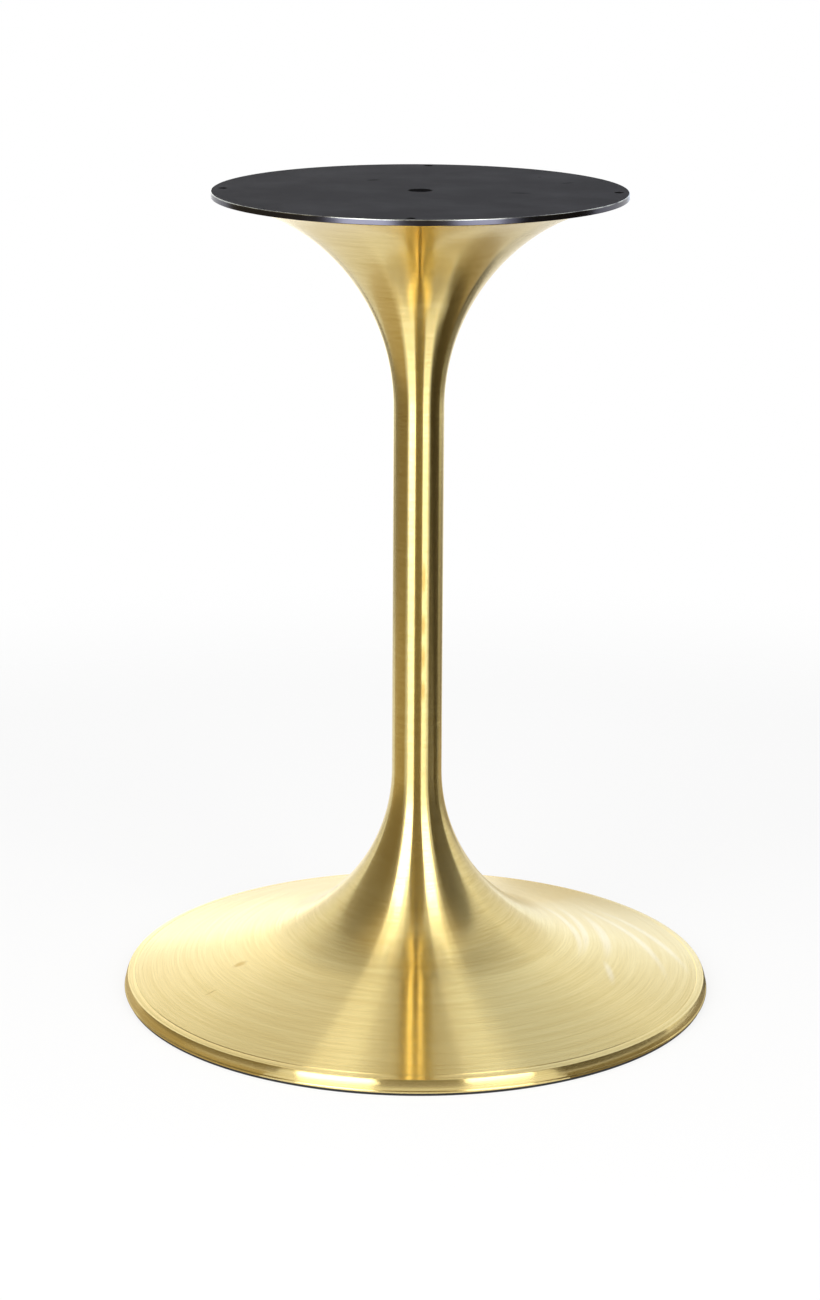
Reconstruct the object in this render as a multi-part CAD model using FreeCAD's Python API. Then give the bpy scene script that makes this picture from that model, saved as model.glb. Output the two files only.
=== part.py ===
import FreeCAD, Part
import math
import os

# Tulip table base: two spun brass trumpets welded to a tube, clamped between a top plate
# and a ballast plate by a tie rod inside the column.
# Millimetres, +Z up, with the origin on the floor in the middle of the base.

# Overall sizes
overall_height = 720.0
base_diameter = 528.0
column_diameter = 44.5

# Walls of the brass
trumpet_wall = 1.5
column_wall = 1.5

# Upper trumpet
top_flare_radius = 186.0
top_neck_length = 5.0
mouth_lip_height = 1.5
mouth_bend_radius = 1.5

# Lower trumpet
base_flare_radius = 161.0
base_cone_slope = 16.4
base_neck_length = 46.0

# Rim of the lower trumpet, from the cone outwards and down to the hem
rim_groove_width = 1.0
rim_groove_depth = 0.4
rim_ring_width = 5.5
rim_ring_crown = 0.3
rim_edge_round = 0.8
rim_side_inset = 1.9
hem_bead_height = 2.6
hem_bead_stand_out = 0.8

# Top plate and the holes for the table top's screws
top_plate_diameter = 357.0
top_plate_thickness = 5.0
top_plate_edge_chamfer = 0.5
top_plate_overhang = 22.5
screw_hole_count = 4
screw_hole_diameter = 7.0
screw_hole_edge_distance = 9.5
screw_hole_turn = -2.5

# Ballast plate, and the rubber ring that it and the hem stand on
ballast_thickness = 10.0
ballast_rim_clearance = 0.4
floor_ring_thickness = 2.5
floor_ring_width = 24.0
floor_ring_set_back = 0.8

# Tie rod
tie_rod_diameter = 18.0
tie_rod_end_chamfer = 1.0
tie_rod_draw_gap = 1.0
tapped_lead_in = 1.0
tapped_run_out = 4.0
drill_point_angle = 118.0

# Countersunk hexagon-socket screws, one at each end of the rod
screw_diameter = 10.0
screw_length = 30.0
screw_head_diameter = 18.0
screw_head_land = 0.4
screw_tip_chamfer = 1.0
screw_recess = 0.3
hexagon_across_flats = 6.0
hexagon_depth = 3.6
thread_clearance = 0.05
countersink_clearance = 0.05
clearance_hole_play = 0.5

# Heights of the stack, from the floor up
hem_bottom = floor_ring_thickness
hem_bead_top = hem_bottom + hem_bead_height
ballast_bottom = floor_ring_thickness
ballast_top = ballast_bottom + ballast_thickness
rim_top = ballast_top + trumpet_wall
plate_underside = overall_height - top_plate_thickness

# Radii
column_radius = column_diameter / 2
top_plate_radius = top_plate_diameter / 2
mouth_radius = top_plate_radius - top_plate_overhang
rim_radius = base_diameter / 2 - hem_bead_stand_out
rim_inner_radius = rim_radius - rim_side_inset - trumpet_wall
ring_outer_radius = rim_radius - rim_side_inset - rim_edge_round
ring_inner_radius = ring_outer_radius - rim_ring_width
cone_end_radius = ring_inner_radius - rim_groove_width
screw_radius = screw_diameter / 2
screw_head_radius = screw_head_diameter / 2
clearance_hole_radius = screw_radius + clearance_hole_play

# Upper flare: one arc from the neck, then a tight bend up into the lip under the plate
mouth_bend_outer = mouth_bend_radius + trumpet_wall
top_flare_turn = math.acos(1 - (mouth_radius - column_radius) / (top_flare_radius + mouth_bend_outer))
lip_bottom = plate_underside - mouth_lip_height
top_flare_start = lip_bottom - (top_flare_radius + mouth_bend_outer) * math.sin(top_flare_turn)
top_seam = top_flare_start - top_neck_length

# Lower flare: an arc tangent to the upright neck and to the straight cone
cone_slope = math.radians(base_cone_slope)
ring_rise = math.tan(cone_slope) / 2
ring_inner_height = rim_top + rim_ring_width * ring_rise
cone_end_height = ring_inner_height + rim_groove_width * ring_rise
cone_meets_column = cone_end_height + (cone_end_radius - column_radius) * math.tan(cone_slope)
base_flare_start = cone_meets_column + base_flare_radius * math.tan((math.pi / 2 - cone_slope) / 2)
base_seam = base_flare_start + base_neck_length

# Tie rod and screw ends
tie_rod_top = plate_underside - tie_rod_draw_gap
top_screw_head = overall_height - screw_recess
bottom_screw_head = ballast_bottom + screw_recess

origin = FreeCAD.Vector(0, 0, 0)
upright = FreeCAD.Vector(0, 0, 1)
sideways = FreeCAD.Vector(1, 0, 0)


def at(radius, height):
    """A point of a turned section."""
    return FreeCAD.Vector(radius, 0, height)


def about(centre, radius, angle):
    """A point round the centre of an arc, at an angle in radians from outwards towards up."""
    return centre + at(radius * math.cos(angle), radius * math.sin(angle))


def bend(centre, radius, first, last):
    """The arc step of a section: a point halfway along the arc, and its end."""
    return about(centre, radius, (first + last) / 2), about(centre, radius, last)


def turned(start, *steps):
    """Turn a closed section about the upright axis.

    Each step is the next corner, or a pair of a point on an arc and the arc's end.
    """
    edges = []
    here = start
    for step in steps + (start,):
        if isinstance(step, tuple):
            through, end = step
            edges.append(Part.Arc(here, through, end).toShape())
        else:
            end = step
            edges.append(Part.makeLine(here, end))
        here = end
    section = Part.Face(Part.Wire(edges))
    return section.revolve(origin, upright, 360)


def make_top_trumpet():
    """The upper spun shell: neck, flare and the turned-up lip that carries the plate."""
    flare = at(column_radius + top_flare_radius, top_flare_start)
    lip = at(mouth_radius - mouth_bend_outer, lip_bottom)
    flare_end = math.pi - top_flare_turn
    neck_inside = column_radius - trumpet_wall
    lip_inside = mouth_radius - trumpet_wall
    return turned(
        at(column_radius, top_seam),
        at(column_radius, top_flare_start),
        bend(flare, top_flare_radius, math.pi, flare_end),
        bend(lip, mouth_bend_outer, -top_flare_turn, 0),
        at(mouth_radius, plate_underside),
        at(lip_inside, plate_underside),
        at(lip_inside, lip_bottom),
        bend(lip, mouth_bend_radius, 0, -top_flare_turn),
        bend(flare, top_flare_radius + trumpet_wall, flare_end, math.pi),
        at(neck_inside, top_seam),
    )


def make_column_tube():
    """The drawn tube between the two seams."""
    inside = column_radius - column_wall
    return turned(
        at(column_radius, base_seam),
        at(column_radius, top_seam),
        at(inside, top_seam),
        at(inside, base_seam),
    )


def make_base_trumpet():
    """The lower spun shell: neck, flare, cone, grooved ring, rounded side and beaded hem."""
    flare = at(column_radius + base_flare_radius, base_flare_start)
    cone_start = 1.5 * math.pi - cone_slope
    neck_inside = column_radius - trumpet_wall

    # Ring between the groove and the edge, a little crowned
    ring_crown_height = (ring_inner_height + rim_top) / 2 + rim_ring_crown
    ring_middle = at((ring_inner_radius + ring_outer_radius) / 2, ring_crown_height)
    groove_bottom = at(cone_end_radius + rim_groove_width / 2, ring_inner_height - rim_groove_depth)

    # Side: an arc that is upright at the bead and runs tangent into the rounded edge
    edge = at(ring_outer_radius, rim_top - rim_edge_round)
    side_rise = edge.z - hem_bead_top
    side_reach = (side_rise ** 2 + rim_side_inset ** 2) / (2 * rim_side_inset)
    side_turn = math.asin(side_rise / side_reach)
    side_radius = side_reach + rim_edge_round
    side = at(rim_radius - side_radius, hem_bead_top)
    bead_middle = at(rim_radius + hem_bead_stand_out, (hem_bottom + hem_bead_top) / 2)

    # Inside of the cone, down to the seat on the ballast plate
    inner_cone_start = about(flare, base_flare_radius + trumpet_wall, cone_start)
    seat_inner_radius = inner_cone_start.x + (inner_cone_start.z - ballast_top) / math.tan(cone_slope)
    return turned(
        at(column_radius, base_seam),
        at(column_radius, base_flare_start),
        bend(flare, base_flare_radius, math.pi, cone_start),
        at(cone_end_radius, cone_end_height),
        groove_bottom,
        at(ring_inner_radius, ring_inner_height),
        (ring_middle, at(ring_outer_radius, rim_top)),
        bend(edge, rim_edge_round, math.pi / 2, side_turn),
        bend(side, side_radius, side_turn, 0),
        (bead_middle, at(rim_radius, hem_bottom)),
        at(rim_inner_radius, hem_bottom),
        at(rim_inner_radius, ballast_top),
        at(seat_inner_radius, ballast_top),
        inner_cone_start,
        bend(flare, base_flare_radius + trumpet_wall, cone_start, math.pi),
        at(neck_inside, base_seam),
    )


def cut_centre_hole(plate, face_height, inwards):
    """Cut the screw's clearance hole and its countersink, from the face that the head lies in."""
    play = countersink_clearance * math.sqrt(2)
    mouth = screw_head_radius + screw_head_land + screw_recess + play
    sink = Part.makeCone(
        mouth, clearance_hole_radius, mouth - clearance_hole_radius, at(0, face_height), inwards
    )
    hole_length = max(top_plate_thickness, ballast_thickness)
    hole = Part.makeCylinder(clearance_hole_radius, hole_length, at(0, face_height), inwards)
    return plate.cut(sink).cut(hole)


def make_top_plate():
    """The round plate that the table top is screwed to."""
    flat_radius = top_plate_radius - top_plate_edge_chamfer
    plate = turned(
        at(0, plate_underside),
        at(flat_radius, plate_underside),
        at(top_plate_radius, plate_underside + top_plate_edge_chamfer),
        at(top_plate_radius, overall_height - top_plate_edge_chamfer),
        at(flat_radius, overall_height),
        at(0, overall_height),
    )
    hole_circle_radius = top_plate_radius - screw_hole_edge_distance
    for index in range(screw_hole_count):
        hole = Part.makeCylinder(
            screw_hole_diameter / 2, top_plate_thickness, at(hole_circle_radius, plate_underside)
        )
        hole.rotate(origin, upright, screw_hole_turn + index * 360 / screw_hole_count)
        plate = plate.cut(hole)
    return cut_centre_hole(plate, overall_height, -upright)


def make_ballast_plate():
    """The steel disc that closes the base and anchors the rod."""
    plate_radius = rim_inner_radius - ballast_rim_clearance
    plate = Part.makeCylinder(plate_radius, ballast_thickness, at(0, ballast_bottom))
    return cut_centre_hole(plate, ballast_bottom, upright)


def make_floor_ring():
    """The flat punched rubber ring under the hem and the edge of the ballast plate."""
    outside = rim_radius - floor_ring_set_back
    inside = outside - floor_ring_width
    return turned(
        at(inside, 0),
        at(outside, 0),
        at(outside, floor_ring_thickness),
        at(inside, floor_ring_thickness),
    )


def make_tie_rod():
    """The rod from plate to plate, tapped at both ends past the tips of its screws."""
    radius = tie_rod_diameter / 2
    bore = screw_radius + thread_clearance
    chamfer_room = (radius - bore) / 3
    chamfer = min(tie_rod_end_chamfer, chamfer_room)
    lead_in = min(tapped_lead_in, chamfer_room)
    drill_point = bore / math.tan(math.radians(drill_point_angle) / 2)
    lower_bore_end = bottom_screw_head + screw_length + tapped_run_out
    upper_bore_end = top_screw_head - screw_length - tapped_run_out
    return turned(
        at(0, lower_bore_end + drill_point),
        at(bore, lower_bore_end),
        at(bore, ballast_top + lead_in),
        at(bore + lead_in, ballast_top),
        at(radius - chamfer, ballast_top),
        at(radius, ballast_top + chamfer),
        at(radius, tie_rod_top - chamfer),
        at(radius - chamfer, tie_rod_top),
        at(bore + lead_in, tie_rod_top),
        at(bore, tie_rod_top - lead_in),
        at(bore, upper_bore_end),
        at(0, upper_bore_end - drill_point),
    )


def make_screw():
    """A countersunk hexagon-socket screw, with the top of its head at the origin and its tip down."""
    cone_end = -screw_head_land - (screw_head_radius - screw_radius)
    blank = turned(
        at(0, 0),
        at(screw_head_radius, 0),
        at(screw_head_radius, -screw_head_land),
        at(screw_radius, cone_end),
        at(screw_radius, screw_tip_chamfer - screw_length),
        at(screw_radius - screw_tip_chamfer, -screw_length),
        at(0, -screw_length),
    )
    corner_radius = hexagon_across_flats / math.sqrt(3)
    corners = []
    for index in range(7):
        corner = at(corner_radius, 0)
        turn = FreeCAD.Rotation(upright, index * 60)
        corners.append(turn.multVec(corner))
    socket = Part.Face(Part.makePolygon(corners)).extrude(upright * -hexagon_depth)
    return blank.cut(socket)


def make_top_screw():
    screw = make_screw()
    screw.translate(at(0, top_screw_head))
    return screw


def make_bottom_screw():
    screw = make_screw()
    screw.rotate(origin, sideways, 180)
    screw.translate(at(0, bottom_screw_head))
    return screw


pieces = {
    "top_plate": make_top_plate(),
    "top_screw": make_top_screw(),
    "top_trumpet": make_top_trumpet(),
    "column_tube": make_column_tube(),
    "base_trumpet": make_base_trumpet(),
    "ballast_plate": make_ballast_plate(),
    "bottom_screw": make_bottom_screw(),
    "tie_rod": make_tie_rod(),
    "floor_ring": make_floor_ring(),
}

os.makedirs("parts", exist_ok=True)
for name, piece in pieces.items():
    piece.exportStep("parts/" + name + ".step")
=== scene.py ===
"""Tulip table base: the finish of its brass, plates and screws, and a plain studio round it."""

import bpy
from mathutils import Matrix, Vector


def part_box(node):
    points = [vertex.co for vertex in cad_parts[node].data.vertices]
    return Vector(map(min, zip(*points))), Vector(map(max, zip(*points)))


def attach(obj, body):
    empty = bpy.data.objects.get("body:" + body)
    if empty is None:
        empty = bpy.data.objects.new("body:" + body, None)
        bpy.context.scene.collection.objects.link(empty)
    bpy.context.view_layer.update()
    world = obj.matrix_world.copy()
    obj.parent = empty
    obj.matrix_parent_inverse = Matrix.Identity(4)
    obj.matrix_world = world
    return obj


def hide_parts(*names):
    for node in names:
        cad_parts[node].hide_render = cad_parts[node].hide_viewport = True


bl_info = {
    "name": "Tulip table base",
    "version": (1, 0, 0),
    "blender": (4, 5, 0),
    "location": "3D View > Sidebar > Tulip base",
    "description": "Models the brushed brass pedestal with its plates and screws, and a studio to show it in",
    "category": "Object",
}

import math

import bpy
from bpy.props import FloatProperty, FloatVectorProperty, IntProperty, PointerProperty
from mathutils import Matrix, Vector

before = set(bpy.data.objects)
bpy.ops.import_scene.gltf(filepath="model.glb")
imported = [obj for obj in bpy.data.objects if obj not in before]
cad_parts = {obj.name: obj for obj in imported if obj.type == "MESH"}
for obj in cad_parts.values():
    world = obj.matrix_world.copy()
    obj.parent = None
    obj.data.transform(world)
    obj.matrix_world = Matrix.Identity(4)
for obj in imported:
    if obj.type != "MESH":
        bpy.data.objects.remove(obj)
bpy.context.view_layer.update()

MM = 0.001
BODY = "root"
WHITE = (1.0, 1.0, 1.0)

# Modelling limits: the turn between two points of an arc, the gap that welds, and the crease that stays sharp
ARC_STEP = math.radians(2.0)
WELD_GAP = 0.002 * MM
CREASE = math.radians(25.0)

# Faces round the drill, the screws, the floor and the cards
DRILL_STEPS = 48
SCREW_STEPS = 96
FLOOR_STEPS = 96
CARD_STEPS = 24

# Places of the sockets of a Mix node, for colours and for numbers
COLOUR_A, COLOUR_B, COLOUR_OUT = 6, 7, 2
NUMBER_A, NUMBER_B, NUMBER_OUT = 2, 3, 0

# Height of the cards' feet above the floor, and the width of the camera's frame in mm
CARD_LIFT = 2 * MM
SENSOR_WIDTH = 36.0


def foot_of(node):
    """Lowest height of a CAD node."""
    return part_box(node)[0].z


def top_of(node):
    """Highest height of a CAD node."""
    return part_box(node)[1].z


def radius_of(node):
    """Outer radius of a turned CAD node."""
    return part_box(node)[1].x


def linear(hex_colour):
    """An sRGB hex colour as linear red, green and blue."""
    shares = [int(hex_colour[place:place + 2], 16) / 255 for place in (1, 3, 5)]
    return tuple(s / 12.92 if s <= 0.04045 else ((s + 0.055) / 1.055) ** 2.4 for s in shares)


def length(name, description, default):
    """A length property in metres."""
    return FloatProperty(
        name=name, description=description, default=default, min=0.0, precision=5, unit="LENGTH",
    )


def angle(name, description, degrees):
    """An angle property, written in degrees."""
    return FloatProperty(name=name, description=description, default=math.radians(degrees), subtype="ANGLE")


def colour(name, description, hex_colour):
    """A colour property, written as sRGB hex."""
    return FloatVectorProperty(
        name=name, description=description, default=linear(hex_colour), min=0.0, max=1.0, subtype="COLOR",
    )


def share(name, description, default, highest=1.0):
    """A plain number from nothing to a highest value."""
    return FloatProperty(name=name, description=description, default=default, min=0.0, max=highest)


class TulipBaseSizes(bpy.types.PropertyGroup):
    """Sizes of the brass, the plates and the screws. The outer ones come from the CAD parts in model.glb."""

    turn_steps: IntProperty(name="Turn steps", description="Faces round a turned piece", default=256, min=48)
    wall: length("Brass wall", "Thickness of the spun brass and of the tube", 1.5 * MM)
    seam_groove: length("Seam groove", "Depth of the hairline left where a weld was dressed", 0.12 * MM)
    column_radius: length("Column radius", "Outer radius of the tube", radius_of("column_tube"))

    top_flare_radius: length("Top flare", "Radius of the upper trumpet's sweep", 186.0 * MM)
    top_neck: length("Top neck", "Straight neck below the upper sweep", 5.0 * MM)
    mouth_radius: length("Mouth radius", "Outer radius of the lip under the plate", radius_of("top_trumpet"))
    mouth_bend: length("Mouth bend", "Outer radius of the bend into the lip", 3.0 * MM)
    mouth_lip: length("Mouth lip", "Upright lip that carries the plate", 1.5 * MM)

    base_flare_radius: length("Base flare", "Radius of the lower trumpet's sweep", 161.0 * MM)
    base_neck: length("Base neck", "Straight neck above the lower sweep", 46.0 * MM)
    cone_slope: angle("Cone slope", "Fall of the base cone", 16.4)
    base_radius: length("Base radius", "Outer radius of the hem's bead", radius_of("base_trumpet"))
    groove_width: length("Groove width", "Width of the groove inside the rim's ring", 1.0 * MM)
    groove_depth: length("Groove depth", "Depth of the groove inside the rim's ring", 0.2 * MM)
    ring_width: length("Ring width", "Width of the ring along the rim", 5.5 * MM)
    ring_crown: length("Ring crown", "Rise of the ring's middle", 0.1 * MM)
    ring_slope: share("Ring slope", "Fall of the ring beside the cone's", 0.85)
    edge_round: length("Edge round", "Radius of the rim's upper edge", 0.8 * MM)
    side_inset: length("Side inset", "How far the rim's side leans in towards its top", 1.9 * MM)
    bead_height: length("Bead height", "Height of the hem's bead", 2.6 * MM)
    bead_stand_out: length("Bead stand-out", "How far the hem's bead stands out", 0.8 * MM)

    plate_radius: length("Plate radius", "Radius of the top plate", radius_of("top_plate"))
    plate_edge: length("Plate edge", "Size of the eased edges of the top plate", 0.5 * MM)
    hole_radius: length("Hole radius", "Radius of the holes for the table top's screws", 3.5 * MM)
    hole_circle: length("Hole circle", "Radius of the circle that the holes lie on", 169.0 * MM)
    hole_turn: angle("Hole turn", "Turn of the first hole from the X axis", -2.5)
    hole_count: IntProperty(name="Holes", description="Number of screw holes", default=4, min=1)
    hole_ease: length("Hole ease", "Chamfer at the mouth of each hole", 0.3 * MM)

    head_radius: length("Head radius", "Radius of the screw heads", radius_of("top_screw"))
    head_land: length("Head land", "Upright edge of the screw heads", 0.4 * MM)
    shank_radius: length("Shank radius", "Radius of the screws' shanks", 5.0 * MM)
    tip_chamfer: length("Tip chamfer", "Chamfer at the screws' tips", 1.0 * MM)
    hexagon: length("Hexagon", "Width of the socket across its flats", 6.0 * MM)
    hexagon_depth: length("Hexagon depth", "Depth of the socket", 3.6 * MM)
    screw_ease: length("Screw ease", "Eased edges of head and socket", 0.2 * MM)
    sink_radius: length("Sink radius", "Radius of the countersinks at the face", 9.77 * MM)
    clearance_radius: length("Clearance radius", "Radius of the holes that the screws pass", 5.5 * MM)

    ring_inner_radius: length("Ring inner radius", "Inner radius of the rubber ring", 238.4 * MM)
    rubber_round: length("Rubber round", "Rounded edges of the rubber ring", 0.5 * MM)
    ballast_ease: length("Ballast ease", "Eased edges of the ballast plate", 0.6 * MM)


class TulipBaseFinish(bpy.types.PropertyGroup):
    """Colours and surface values of the finishes."""

    brass: colour("Brass", "Brushed brass where the brush cut bright", "#F3E0A2")
    brass_shade: colour("Brass shade", "Brushed brass in the furrows between", "#DFC67C")
    brass_smudge: colour("Brass smudge", "Touched spots on the brass", "#D2B469")
    # The pale streaks are partly wiping marks and partly painted reflections of small lights
    brass_wipe_and_glint: colour("Brass wipe", "Pale traces where the base was wiped", "#FFF8E6")
    brass_roughness: share("Brass roughness", "Blur of the brushed brass between its furrows", 0.145)
    brush_width: length("Brush width", "Spacing of the brush lines as drawn", 1.2 * MM)
    coat: colour("Powder coat", "Black coat of the top plate", "#212126")
    coat_haze: colour("Coat haze", "Rubbed places on the coat", "#2A2A30")
    # This colour also paints shade into the holes and the countersink
    coat_scuff_and_shade: colour("Coat scuff", "Chips and scuffs in the coat", "#0B0B0C")
    coat_roughness: share("Coat roughness", "Dullness of the powder coat", 0.78)
    coat_grain: length("Coat grain", "Size of the coat's grain", 0.9 * MM)
    plate_edge: colour("Plate edge", "Turned edge of the top plate under its black oxide", "#53535E")
    # The upper corner's bright steel is partly wear and partly a painted highlight
    plate_wear_and_highlight: colour("Plate wear", "Bright steel where the plate's upper corner is worn", "#D8DCD4")
    screw: colour("Screw", "Black oxide on the screws", "#141415")
    ballast: colour("Ballast", "Primer on the ballast plate", "#232323")
    rod: colour("Rod", "Drawn steel of the tie rod", "#B4B3B0")
    rubber: colour("Rubber", "Rubber of the floor ring", "#141414")


class TulipBaseStage(bpy.types.PropertyGroup):
    """Camera, lamps, cards and floor."""

    camera_distance: length("Camera distance", "Camera in front of the column", 2.8051)
    camera_height: length("Camera height", "Camera above the floor", 1.0929)
    camera_pitch: angle("Camera pitch", "How far the camera looks down", 15.532)
    camera_yaw: angle("Camera yaw", "How far the camera looks to the left", 0.135)
    camera_roll: angle("Camera roll", "How far the camera is rolled", 0.305)
    camera_lens: FloatProperty(
        name="Lens", description="Focal length in mm on a 36 mm frame", default=91.05, min=1.0,
    )

    lamp_distance: length("Lamp distance", "Softboxes from the column", 1.9)
    lamp_top: length("Lamp top", "Upper edge of the front softboxes", 3.8)
    lamp_join: length("Lamp join", "Height at which the high softboxes stand on the low ones", 2.0)
    left_light: share("Left light", "Brightness of the left softboxes", 4.0, 20.0)
    left_foot: length("Left foot", "Lower edge of the low left softbox", 0.1)
    left_low: angle("Left low", "Middle of the low left softbox, from the camera's side", -30.2)
    left_low_width: angle("Left low width", "Width of the low left softbox, seen from the column", 29.0)
    left_low_lean: angle("Left low lean", "Outward lean of the low left softbox", 8.0)
    left_high: angle("Left high", "Middle of the high left softbox, from the camera's side", -43.0)
    left_high_width: angle("Left high width", "Width of the high left softbox, seen from the column", 26.0)
    left_high_lean: angle("Left high lean", "Outward lean of the high left softbox", 13.0)
    right_light: share("Right light", "Brightness of the right softboxes", 3.4, 20.0)
    right_foot: length("Right foot", "Lower edge of the low right softbox", 0.35)
    right_low: angle("Right low", "Middle of the low right softbox, from the camera's side", 32.5)
    right_low_width: angle("Right low width", "Width of the low right softbox, seen from the column", 25.0)
    right_low_lean: angle("Right low lean", "Outward lean of the low right softbox", 7.0)
    right_high: angle("Right high", "Middle of the high right softbox, from the camera's side", 37.0)
    right_high_width: angle("Right high width", "Width of the high right softbox, seen from the column", 24.0)
    right_high_lean: angle("Right high lean", "Outward lean of the high right softbox", 11.0)
    back_lamp: angle("Back lamp", "Middle of the low lamp behind, from the camera's side", -171.0)
    back_width: angle("Back width", "Width of the low lamp behind, seen from the column", 22.0)
    back_top: length("Back top", "Upper edge of the low lamp behind", 1.3)
    back_light: share("Back light", "Brightness of the low lamp behind", 0.6, 20.0)

    card_tint: colour("Card tint", "Warm tint of the dim cards", "#FFE9B8")
    cool_tint: colour("Cool tint", "Cool tint of the card behind on the right", "#E6EFFF")
    card_distance: length("Card distance", "Studio cards from the column", 2.4)
    card_top: length("Card top", "Upper edge of the tall cards", 4.0)
    card_bend: length("Card bend", "Height at which the tall cards bend inwards", 2.4)
    ambient: share("Ambient", "Light of the studio on matt surfaces", 0.6, 4.0)
    floor_radius: length("Floor radius", "Reach of the floor", 1.5)
    floor_fade: length("Floor fade", "Where the floor starts to fade out", 0.9)
    floor_gap: length("Floor gap", "Opening under the base, so that its underside has light", 0.25)
    floor_tone: colour("Floor", "Pale studio floor", "#F2F2F2")
    floor_lift: share("Floor lift", "How much of the floor is plain white to the eye", 0.8)


class TulipBaseSettings(bpy.types.PropertyGroup):
    """All settings of the tulip table base."""

    sizes: PointerProperty(type=TulipBaseSizes)
    finish: PointerProperty(type=TulipBaseFinish)
    stage: PointerProperty(type=TulipBaseStage)


# Modelling


def at(radius, height):
    """A point of a turned section."""
    return Vector((radius, height))


def arc(centre, radius, first, last):
    """Points of a section's arc round a centre, at angles from outwards towards up."""
    count = max(2, math.ceil(abs(last - first) / ARC_STEP))
    turns = [first + (last - first) * step / count for step in range(count + 1)]
    return [centre + radius * at(math.cos(turn), math.sin(turn)) for turn in turns]


def crowned(first, last, rise):
    """Points of a shallow arc from one point to another, with a rise in its middle."""
    chord = last - first
    half = chord.length / 2
    radius = (half ** 2 + rise ** 2) / (2 * rise)
    upwards = at(-chord.y, chord.x).normalized()
    if upwards.y < 0:
        upwards.negate()
    centre = (first + last) / 2 + upwards * (rise - radius)
    from_angle = math.atan2(first.y - centre.y, first.x - centre.x)
    to_angle = math.atan2(last.y - centre.y, last.x - centre.x)
    return arc(centre, radius, from_angle, to_angle)


def deselect():
    """Clear the selection, so that the next primitive is all that an operator acts on."""
    bpy.ops.object.select_all(action="DESELECT")


def edit_all():
    """Start to edit the active mesh, with all of it selected."""
    bpy.ops.object.mode_set(mode="EDIT")
    bpy.ops.mesh.select_all(action="SELECT")


def select_faces(piece, wanted):
    """Start to edit a piece with only those faces selected whose centres are wanted."""
    bpy.context.view_layer.objects.active = piece
    edit_all()
    bpy.ops.mesh.select_mode(type="FACE")
    bpy.ops.mesh.select_all(action="DESELECT")
    bpy.ops.object.mode_set(mode="OBJECT")
    for face in piece.data.polygons:
        face.select = wanted(face.center)
    bpy.ops.object.mode_set(mode="EDIT")


def turned(name, section, steps, sweep=math.tau):
    """Draw a section out of one corner, point by point, and spin it round the upright axis."""
    first = section[0]
    deselect()
    bpy.ops.mesh.primitive_plane_add(size=MM, location=(first.x, 0, first.y))
    bpy.ops.object.transform_apply(location=True)
    piece = bpy.context.object
    piece.name = name
    piece.data.name = name
    edit_all()
    bpy.ops.mesh.merge(type="CENTER")
    for here, there in zip(section, section[1:]):
        move = there - here
        bpy.ops.mesh.extrude_vertices_move(TRANSFORM_OT_translate={"value": (move.x, 0, move.y)})
    bpy.ops.mesh.select_all(action="SELECT")
    bpy.ops.mesh.spin(steps=steps, angle=sweep, center=(0, 0, 0), axis=(0, 0, 1))
    bpy.ops.mesh.select_all(action="SELECT")
    bpy.ops.mesh.remove_doubles(threshold=WELD_GAP)
    bpy.ops.mesh.normals_make_consistent(inside=False)
    bpy.ops.object.mode_set(mode="OBJECT")
    return piece


def cut(piece, cutter):
    """Cut one piece out of another, and throw the cutter away."""
    boolean = piece.modifiers.new("Cut", "BOOLEAN")
    boolean.object = cutter
    boolean.solver = "EXACT"
    bpy.context.view_layer.objects.active = piece
    bpy.ops.object.modifier_apply(modifier=boolean.name)
    bpy.data.objects.remove(cutter)


def finish_piece(piece, node, material):
    """Give a piece its finish, and let it stand for its CAD node."""
    deselect()
    piece.select_set(True)
    bpy.context.view_layer.objects.active = piece
    bpy.ops.object.shade_smooth_by_angle(angle=CREASE)
    piece.data.materials.clear()
    piece.data.materials.append(material)
    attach(piece, BODY)
    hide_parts(node)


# Materials


def add_node(tree, kind, settings=None, inputs=None):
    """Add a node with its settings. An input is a plain value or the socket that feeds it."""
    node = tree.nodes.new(kind)
    for name, value in (settings or {}).items():
        setattr(node, name, value)
    for key, value in (inputs or {}).items():
        if isinstance(value, bpy.types.NodeSocket):
            tree.links.new(value, node.inputs[key])
        else:
            node.inputs[key].default_value = value
    return node


def new_material(name):
    """An empty node material, and its tree."""
    material = bpy.data.materials.new(name)
    material.use_nodes = True
    material.node_tree.nodes.clear()
    return material, material.node_tree


def show(tree, shader):
    """Send a shader to the material's surface."""
    add_node(tree, "ShaderNodeOutputMaterial", {}, {"Surface": shader})


def opaque(rgb):
    """A colour with full alpha, as colour sockets want it."""
    return (*rgb, 1.0)


def plain_sight(tree):
    """One for what the eye sees, also in metal or glass, and nought for light on matt surfaces."""
    path = add_node(tree, "ShaderNodeLightPath").outputs
    seen = path["Is Camera Ray"]
    for kind in ("Is Glossy Ray", "Is Transmission Ray"):
        seen = add_node(
            tree, "ShaderNodeMath", {"operation": "MAXIMUM"}, {0: seen, 1: path[kind]}
        ).outputs["Value"]
    return seen


# How much of a spot is full: a soft smudge or trace, and a chip with a clear edge
SOFT_CORE = 0.2
CHIP_CORE = 0.85


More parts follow.
